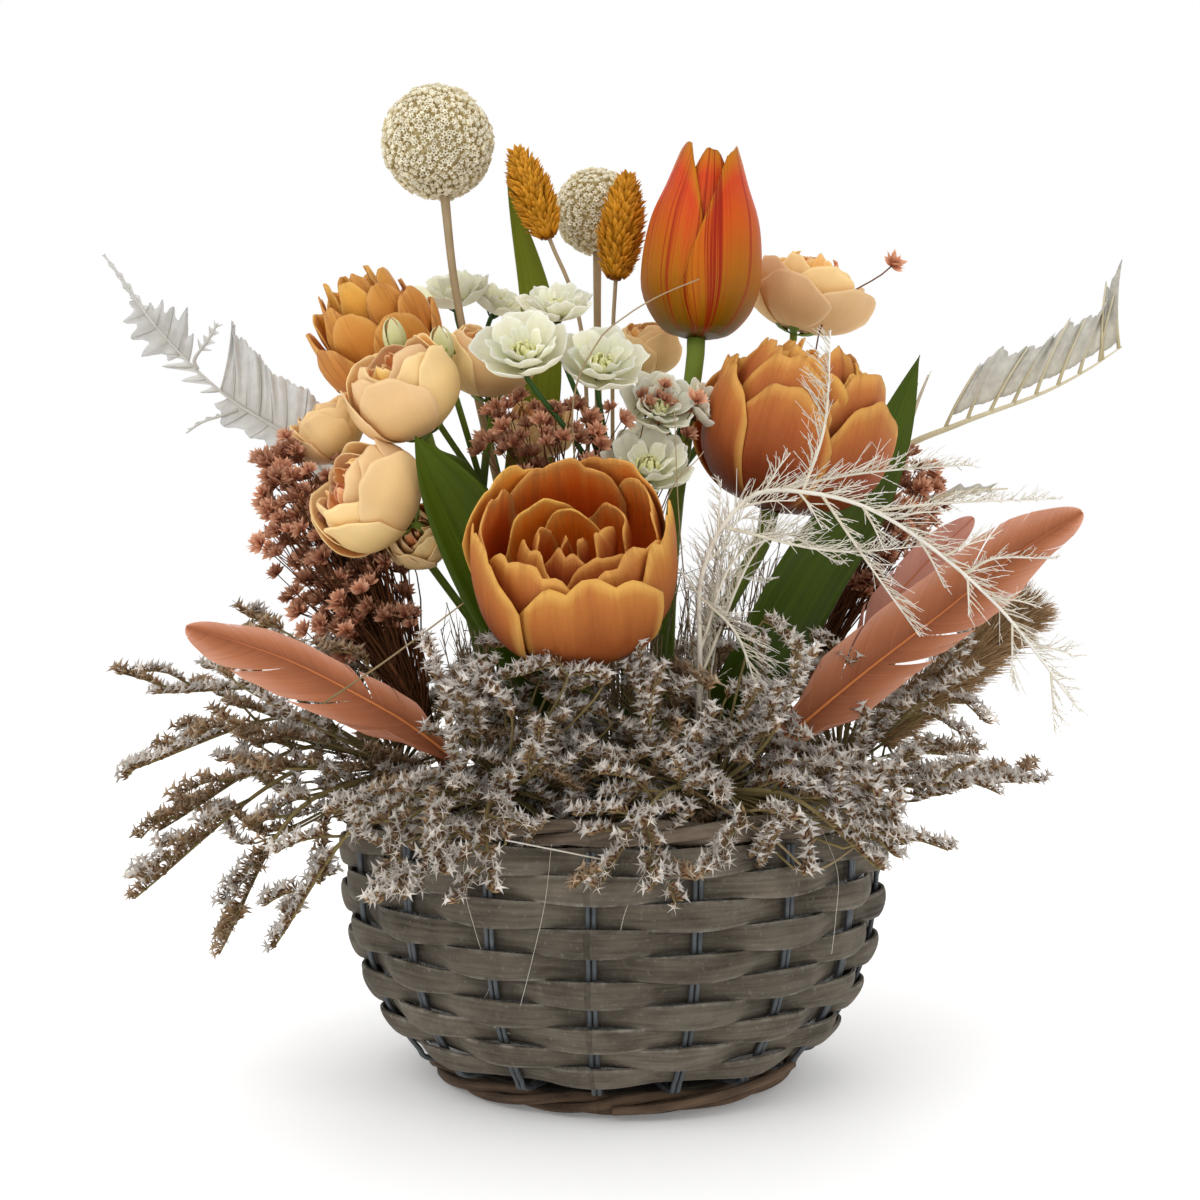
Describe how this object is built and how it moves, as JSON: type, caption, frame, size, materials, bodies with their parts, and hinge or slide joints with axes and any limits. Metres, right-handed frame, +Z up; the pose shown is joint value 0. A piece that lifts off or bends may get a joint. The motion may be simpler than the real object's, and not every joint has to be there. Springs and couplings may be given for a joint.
{
  "type": "flower basket arrangement",
  "caption": "Round woven basket of tulips, roses and small white blossoms among dried grasses, star-flowers, sea lavender, fern and feathers.",
  "frame": {"origin": "middle of the flat underside of the basket, on the surface it stands on", "axes": "+Z up; -Y towards the front of the arrangement, the side the feathers and the open tulip face; +X to the right as seen from the front"},
  "size_m": [0.4015, 0.2331, 0.3667],
  "materials": {
    "wire": "zinc-grey wire, dull",
    "splint": "flat grey-washed wood splint, matt",
    "cane": "round grey-brown willow cane, matt",
    "foot_cane": "round brown willow cane, matt",
    "liner_film": "clear film, crinkled",
    "foam": "grey-green dry foam, open grain",
    "tulip_bud": "red-orange petals with yellow middles",
    "double_tulip": "apricot petals with yellow edges",
    "rose_petal": "peach petals, paler at the edge",
    "white_petal": "cream-white petals, matt",
    "green_stem": "green stem, satin",
    "leaf": "deep green leaf, satin",
    "globe_flower": "dried ivory head, matt",
    "seed_head": "dried ochre bristles, matt",
    "feather": "salmon feather, silky",
    "pale_feather": "pale pink feather, silky",
    "bleached_fern": "bleached fern, papery",
    "white_grass": "bleached wiry grass",
    "brown_plume": "dried brown seed plume, fuzzy",
    "star_flower": "dried dusty-pink florets",
    "sea_lavender": "dried white-lilac florets on brown stems"
  },
  "bodies": {
    "root": {"basket_floor": "splint", "brown_plume": "brown_plume", "dry_foam": "foam", "feather_left": "feather", "feather_pale": "pale_feather", "feather_right": "feather", "fern_left": "bleached_fern", "fern_right": "bleached_fern", "film_liner": "liner_film", "foot_braid": "foot_cane", "globe_flower_short": "globe_flower", "globe_flower_tall": "globe_flower", "rim_braid": "cane", "rose_behind": "rose_petal", "rose_bud_left": "rose_petal", "rose_inner": "rose_petal", "rose_left": "rose_petal", "rose_middle": "rose_petal", "rose_right": "rose_petal", "rose_stem_left": "green_stem", "rose_stem_right": "green_stem", "rose_upper": "rose_petal", "sea_lavender_back": "sea_lavender", "sea_lavender_front_left": "sea_lavender", "sea_lavender_front_right": "sea_lavender", "sea_lavender_left": "sea_lavender", "sea_lavender_right": "sea_lavender", "seed_head_left": "seed_head", "seed_head_right": "seed_head", "splint_row_01": "splint", "splint_row_02": "splint", "splint_row_03": "splint", "splint_row_04": "splint", "splint_row_05": "splint", "splint_row_06": "splint", "splint_row_07": "splint", "splint_row_08": "splint", "splint_row_09": "splint", "splint_row_10": "splint", "star_flowers_centre": "star_flower", "star_flowers_left": "star_flower", "star_flowers_right": "star_flower", "tulip_back": "double_tulip", "tulip_back_stem": "leaf", "tulip_bud": "tulip_bud", "tulip_bud_stem": "green_stem", "tulip_front": "double_tulip", "tulip_front_stem": "leaf", "tulip_right": "double_tulip", "tulip_right_stem": "leaf", "white_back": "white_petal", "white_centre": "white_petal", "white_grass": "white_grass", "white_left": "white_petal", "white_lower": "white_petal", "white_right": "white_petal", "white_stem_back": "green_stem", "white_stem_front": "green_stem", "white_upper": "white_petal", "wire_frame": "wire"}
  },
  "joints": []
}
